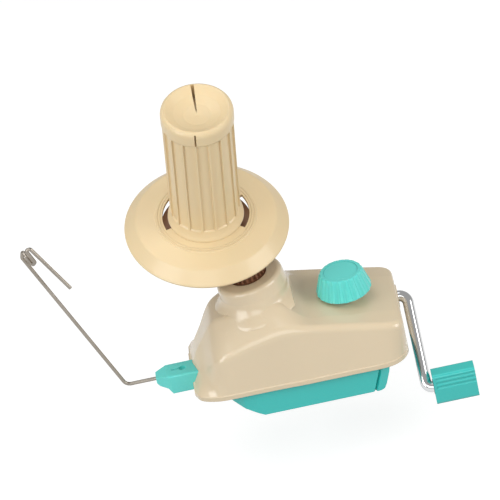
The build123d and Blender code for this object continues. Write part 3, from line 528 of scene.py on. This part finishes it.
def add_mesh(name: str, mesh_data: bmesh.types.BMesh, finish: Finish, body: str) -> bpy.types.Object:
    """Turn a built mesh into a named piece that rides on a body.

    Args:
        name: the piece's name.
        mesh_data: the built mesh, which is freed.
        finish: its finish.
        body: the CAD body it moves with.

    Returns:
        The new object.
    """
    mesh = bpy.data.meshes.new(name)
    mesh_data.to_mesh(mesh)
    mesh_data.free()
    piece = bpy.data.objects.new(name, mesh)
    bpy.context.scene.collection.objects.link(piece)
    mesh.materials.append(bpy.data.materials.get(finish.name) or finish.make())
    for face in mesh.polygons:
        face.use_smooth = True
    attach(piece, body)
    log.info("made %s on %s", name, body)
    return piece


# --- sub-assemblies ---------------------------------------------------------
@dataclass
class Casing:
    """Cream cover with its base plate, bushes and screws."""

    def build(self, frame: dict) -> None:
        """Dress the cover and what is fixed in it.

        Args:
            frame: the loaded frame.
        """
        dress(frame, CREAM, "upper_cover")
        dress(frame, FRAME_PLASTIC, "base_plate", "gear_frame")
        dress(frame, RUBBER, "seat_pad")
        dress(frame, BLACK, "top_bush", "crank_rear_bush")
        dress(frame, BRASS, "crank_front_bush", "crank_middle_bush", "lay_bushes", "neck_upper_bush",
              "neck_lower_bush")
        dress(frame, STEEL, "case_screws", "frame_screws")


@dataclass
class GearTrain:
    """Brown gears and the shafts that carry them."""

    def build(self, frame: dict) -> None:
        """Dress the gears, the hub and the shafts.

        Args:
            frame: the loaded frame.
        """
        dress(frame, BROWN, "crank_gear", "lay_pinion", "lay_bevel", "neck_bevel", "sun_gear", "hub_gear")
        # painted shade: the hub is brown so that the cavity under the flange's slots looks shaded
        dress(frame, HUB_PAINTED_SHADE, "cone_hub")
        dress(frame, STEEL, "lay_shaft", "neck_shaft", "crank_clip", "hub_screw")


@dataclass
class WindingHead:
    """Tilted head: arm, flange with its fine ridges, and ribbed cone."""

    ridge_radii: tuple[float, ...] = (30.6 * MM, 32.4 * MM)
    ridge_width: float = 0.5 * MM
    ridge_height: float = 0.22 * MM
    ridge_root: float = 0.05 * MM
    crest_share: float = 0.22
    face_rise: float = 2.4 * MM
    steps: int = 160

    def _ridges(self, centre: Vector, axis: Vector) -> bmesh.types.BMesh:
        """Mesh of the fine moulded ridges round the flange's slots.

        Args:
            centre: the flange's centre in its own plane.
            axis: unit vector along the cone.

        Returns:
            The closed ridges as one mesh.
        """
        across = axis.orthogonal().normalized()
        beside = axis.cross(across)
        low = self.face_rise - self.ridge_root
        high = self.face_rise + self.ridge_height
        shape = [(-0.5, low), (-self.crest_share, high), (self.crest_share, high), (0.5, low)]
        mesh = bmesh.new()
        for radius in self.ridge_radii:
            loops = []
            for k in range(self.steps):
                angle = 2 * math.pi * k / self.steps
                outward = across * math.cos(angle) + beside * math.sin(angle)
                loops.append([
                    mesh.verts.new(centre + outward * (radius + share * self.ridge_width) + axis * rise)
                    for share, rise in shape])
            for k, loop in enumerate(loops):
                following = loops[(k + 1) % self.steps]
                for i in range(len(shape)):
                    j = (i + 1) % len(shape)
                    mesh.faces.new((loop[i], following[i], following[j], loop[j]))
        bmesh.ops.recalc_face_normals(mesh, faces=mesh.faces)
        return mesh

    def build(self, frame: dict) -> None:
        """Make the flange's ridges and dress the head and cone.

        Args:
            frame: the loaded frame.
        """
        spin = next(joint for joint in frame["joints"] if joint["name"] == "cone_spin")
        ridges = self._ridges(Vector(spin["pos_m"]), Vector(spin["axis"]).normalized())
        add_mesh("flange_ridges", ridges, CREAM_CONE, "cone")
        dress(frame, CREAM_CONE, "head_arm", "flange_disc", "winding_cone", "cone_core")


@dataclass
class ClampUnit:
    """Clamp screw with its thread, knob and jaw."""

    pitch: float = 2.5 * MM
    outer: float = 3.98 * MM
    inner: float = 3.3 * MM
    flank_slope: float = 3.2
    crest_gain: float = 1.5
    rings_per_turn: int = 8
    steps: int = 28

    def _radius(self, turns: float) -> float:
        """Radius of the thread after that many turns from its start."""
        crest = max(0.0, 1 - abs(turns % 1.0 - 0.5) * self.flank_slope)
        return self.inner + (self.outer - self.inner) * min(1.0, crest * self.crest_gain)

    def _thread(self, low: Vector, high: Vector) -> bmesh.types.BMesh:
        """Mesh of a threaded rod between two heights.

        Args:
            low: lowest corner of the CAD screw.
            high: highest corner of the CAD screw.

        Returns:
            The closed mesh.
        """
        centre = (low + high) / 2
        length = high.z - low.z
        count = int(length / self.pitch * self.rings_per_turn)
        mesh = bmesh.new()
        rings = []
        for k in range(count + 1):
            z = low.z + length * k / count
            ring = []
            for i in range(self.steps):
                share = i / self.steps
                angle = 2 * math.pi * share
                radius = self.inner if k in (0, count) else self._radius((z - low.z) / self.pitch - share)
                ring.append(mesh.verts.new((centre.x + radius * math.cos(angle),
                                            centre.y + radius * math.sin(angle), z)))
            rings.append(ring)
        for below, above in zip(rings, rings[1:]):
            for i in range(self.steps):
                j = (i + 1) % self.steps
                mesh.faces.new((below[i], below[j], above[j], above[i]))
        mesh.faces.new(list(reversed(rings[0])))
        mesh.faces.new(rings[-1])
        return mesh

    def build(self, frame: dict) -> None:
        """Make the threaded screw and dress knob, jaw and pad.

        Args:
            frame: the loaded frame.
        """
        low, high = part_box("clamp_screw")
        screw = add_mesh("threaded_screw", self._thread(low, high), STEEL, "clamp")
        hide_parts("clamp_screw")
        # painted light: the knob and its cap get the lighter copy of the turquoise
        dress(frame, TURQUOISE_PAINTED_LIGHT, "clamp_knob", "knob_cap")
        dress(frame, TURQUOISE, "clamp_jaw")
        dress(frame, RUBBER, "jaw_pad")
        dress(frame, STEEL, "jaw_nut", "jaw_guide_rods")


@dataclass
class CrankUnit:
    """Chrome rod with its turning grip."""

    def build(self, frame: dict) -> None:
        """Dress the rod, grip and end washer.

        Args:
            frame: the loaded frame.
        """
        dress(frame, CHROME, "crank_rod")
        dress(frame, TURQUOISE, "crank_grip")
        dress(frame, BLACK, "grip_washer")


@dataclass
class YarnGuide:
    """Steel wire guide in its turquoise holder."""

    def build(self, frame: dict) -> None:
        """Dress the wire and holder.

        Args:
            frame: the loaded frame.
        """
        dress(frame, STEEL, "guide_wire")
        # painted light: the holder gets the lighter copy of the turquoise
        dress(frame, TURQUOISE_PAINTED_LIGHT, "guide_holder")


# --- studio -----------------------------------------------------------------
@dataclass(frozen=True)
class Lamp:
    """One soft square lamp."""

    name: str
    place: tuple[float, float, float]
    size: float
    power: float

    def hang(self, aim: Vector) -> None:
        """Hang the lamp and turn it to the object.

        Args:
            aim: the point it faces.
        """
        light = bpy.data.lights.new(self.name, "AREA")
        light.size = self.size
        light.energy = self.power
        lamp = bpy.data.objects.new(self.name, light)
        lamp.location = self.place
        lamp.rotation_euler = (aim - Vector(self.place)).to_track_quat("-Z", "Y").to_euler()
        bpy.context.scene.collection.objects.link(lamp)


@dataclass(frozen=True)
class Floor:
    """Pale floor: it takes the shadow, and sends little light back up."""

    drop: float = 8 * MM
    size: float = 6.0
    bounce: float = 0.3
    shown: float = 0.5
    glow: float = 0.66
    roughness: float = 0.9
    crank_side: float = 12 * MM
    grip_reach: float = 16 * MM

    def _height(self) -> float:
        """Find the floor's height below the grip's lowest point in its turn.

        Returns:
            The floor's height.
        """
        grip_low, grip_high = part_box("crank_grip")
        _, crank_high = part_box("crank_rod")
        centre = (grip_low + grip_high) / 2
        arm = math.hypot(centre.y - self.crank_side, centre.z - crank_high.z)
        return min(grip_low.z, crank_high.z - arm - self.grip_reach) - self.drop

    def _material(self) -> bpy.types.Material:
        """Build the floor's material: white to the camera, greyer as a source of light.

        Returns:
            The new material.
        """
        material = bpy.data.materials.new("pale_floor")
        material.use_nodes = True
        tree = material.node_tree
        links = tree.links
        shader = tree.nodes["Principled BSDF"]
        shader.inputs["Roughness"].default_value = self.roughness
        shader.inputs["Specular IOR Level"].default_value = 0.0
        rays = new_node(tree, "LightPath")
        camera_ray = rays.outputs["Is Camera Ray"]
        pale = mix_colours(tree, camera_ray, (self.bounce,) * 3, (self.shown,) * 3)
        links.new(pale, shader.inputs["Base Color"])
        seen = calculate(tree, "MAXIMUM", camera_ray, rays.outputs["Is Glossy Ray"])
        pick = new_node(tree, "MixShader")
        dark = new_node(tree, "Emission", strength=0.0)
        glow = new_node(tree, "Emission", strength=self.glow)
        add = new_node(tree, "AddShader")
        links.new(seen.outputs[0], pick.inputs["Fac"])
        links.new(dark.outputs[0], pick.inputs[1])
        links.new(glow.outputs[0], pick.inputs[2])
        links.new(shader.outputs[0], add.inputs[0])
        links.new(pick.outputs[0], add.inputs[1])
        links.new(add.outputs[0], tree.nodes["Material Output"].inputs["Surface"])
        return material

    def lay(self) -> None:
        """Lay the floor below the lowest reach of the crank."""
        half, z = self.size / 2, self._height()
        mesh = bpy.data.meshes.new("floor")
        corners = [(-half, -half, z), (half, -half, z), (half, half, z), (-half, half, z)]
        mesh.from_pydata(corners, [], [(0, 1, 2, 3)])
        mesh.materials.append(self._material())
        plane = bpy.data.objects.new("floor", mesh)
        bpy.context.scene.collection.objects.link(plane)


@dataclass(frozen=True)
class Surroundings:
    """Soft white world: bright to the camera, gentler as light."""

    tint: tuple[float, ...] = (1.0, 0.99, 0.97, 1.0)
    lit: float = 0.40
    shown: float = 1.0

    def build(self) -> None:
        """Set up the world."""
        world = bpy.data.worlds.new("studio")
        bpy.context.scene.world = world
        world.use_nodes = True
        tree = world.node_tree
        lit = tree.nodes["Background"]
        lit.inputs["Color"].default_value = self.tint
        lit.inputs["Strength"].default_value = self.lit
        shown = new_node(tree, "Background", color=(1.0, 1.0, 1.0, 1.0), strength=self.shown)
        rays = new_node(tree, "LightPath")
        pick = new_node(tree, "MixShader")
        tree.links.new(rays.outputs["Is Camera Ray"], pick.inputs["Fac"])
        tree.links.new(lit.outputs[0], pick.inputs[1])
        tree.links.new(shown.outputs[0], pick.inputs[2])
        tree.links.new(pick.outputs[0], tree.nodes["World Output"].inputs["Surface"])


@dataclass(frozen=True)
class Viewpoint:
    """The photograph's camera: a long lens, above the object and rolled."""

    distance: float = 2.5
    pixels_per_metre: float = 1494.0
    elevation: float = 32.0
    roll: float = 12.0
    knob_place: tuple[float, float] = (344.2, 289.4)
    frame_pixels: float = 500.0
    sensor: float = 36.0
    clip_end: float = 50.0
    skirt_rise: float = 2.0 * MM

    def _rows(self, focal: float, ahead: Vector) -> Matrix:
        """Turn the camera so that the knob falls on its place in the frame.

        Args:
            focal: the focal length in pixels.
            ahead: unit vector from the camera to the knob.

        Returns:
            The camera's right, up and forward directions as rows.
        """
        turn = math.radians(self.roll)
        level = Vector((1, 0, 0))
        upward = level.cross(ahead)
        right = math.cos(turn) * level - math.sin(turn) * upward
        up = math.sin(turn) * level + math.cos(turn) * upward
        across, down = (place - self.frame_pixels / 2 for place in self.knob_place)
        off = Vector((across / focal, -down / focal, 1.0))
        swing = Vector((0, 0, 1)).rotation_difference(off.normalized()).to_matrix()
        return swing @ Matrix((right, up, ahead))

    def stand(self) -> None:
        """Stand the camera before the knob and make it the scene's."""
        low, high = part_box("clamp_knob")
        skirt = Vector(((low.x + high.x) / 2, (low.y + high.y) / 2, low.z + self.skirt_rise))
        tilt = math.radians(self.elevation)
        ahead = Vector((0, math.cos(tilt), -math.sin(tilt)))
        focal = self.pixels_per_metre * self.distance
        rows = self._rows(focal, ahead)
        data = bpy.data.cameras.new("camera")
        data.sensor_width = self.sensor
        data.lens = focal / self.frame_pixels * self.sensor
        data.clip_end = self.clip_end
        eye = bpy.data.objects.new("camera", data)
        turned = Matrix((rows[0], rows[1], -rows[2])).transposed()
        eye.matrix_world = Matrix.Translation(skirt - ahead * self.distance) @ turned.to_4x4()
        bpy.context.scene.collection.objects.link(eye)
        bpy.context.scene.camera = eye


@dataclass
class Studio:
    """Pale floor, soft lamps, white world and the photograph's camera."""

    lamps: tuple[Lamp, ...] = (
        Lamp("overhead", (-0.3, 0.1, 1.3), 1.1, 4.1),
        Lamp("window", (-1.2, -0.9, 0.75), 0.9, 10.5),
        Lamp("front", (-0.2, -1.4, 0.75), 0.8, 4.3),
        Lamp("fill", (1.3, -0.7, 0.6), 0.9, 11.0))
    aim: tuple[float, float, float] = (0.0, 0.0, 0.07)

    def build(self) -> None:
        """Set up floor, world, lamps and camera."""
        Floor().lay()
        Surroundings().build()
        for lamp in self.lamps:
            lamp.hang(Vector(self.aim))
        Viewpoint().stand()
        bpy.context.scene.view_settings.view_transform = "Standard"


def main() -> None:
    """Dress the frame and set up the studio."""
    logging.basicConfig(level=logging.INFO, format="%(name)s: %(message)s")
    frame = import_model()
    for unit in (Casing(), GearTrain(), WindingHead(), ClampUnit(), CrankUnit(), YarnGuide()):
        log.info("building %s", type(unit).__name__)
        unit.build(frame)
    Studio().build()


if __name__ == "__main__":
    main()
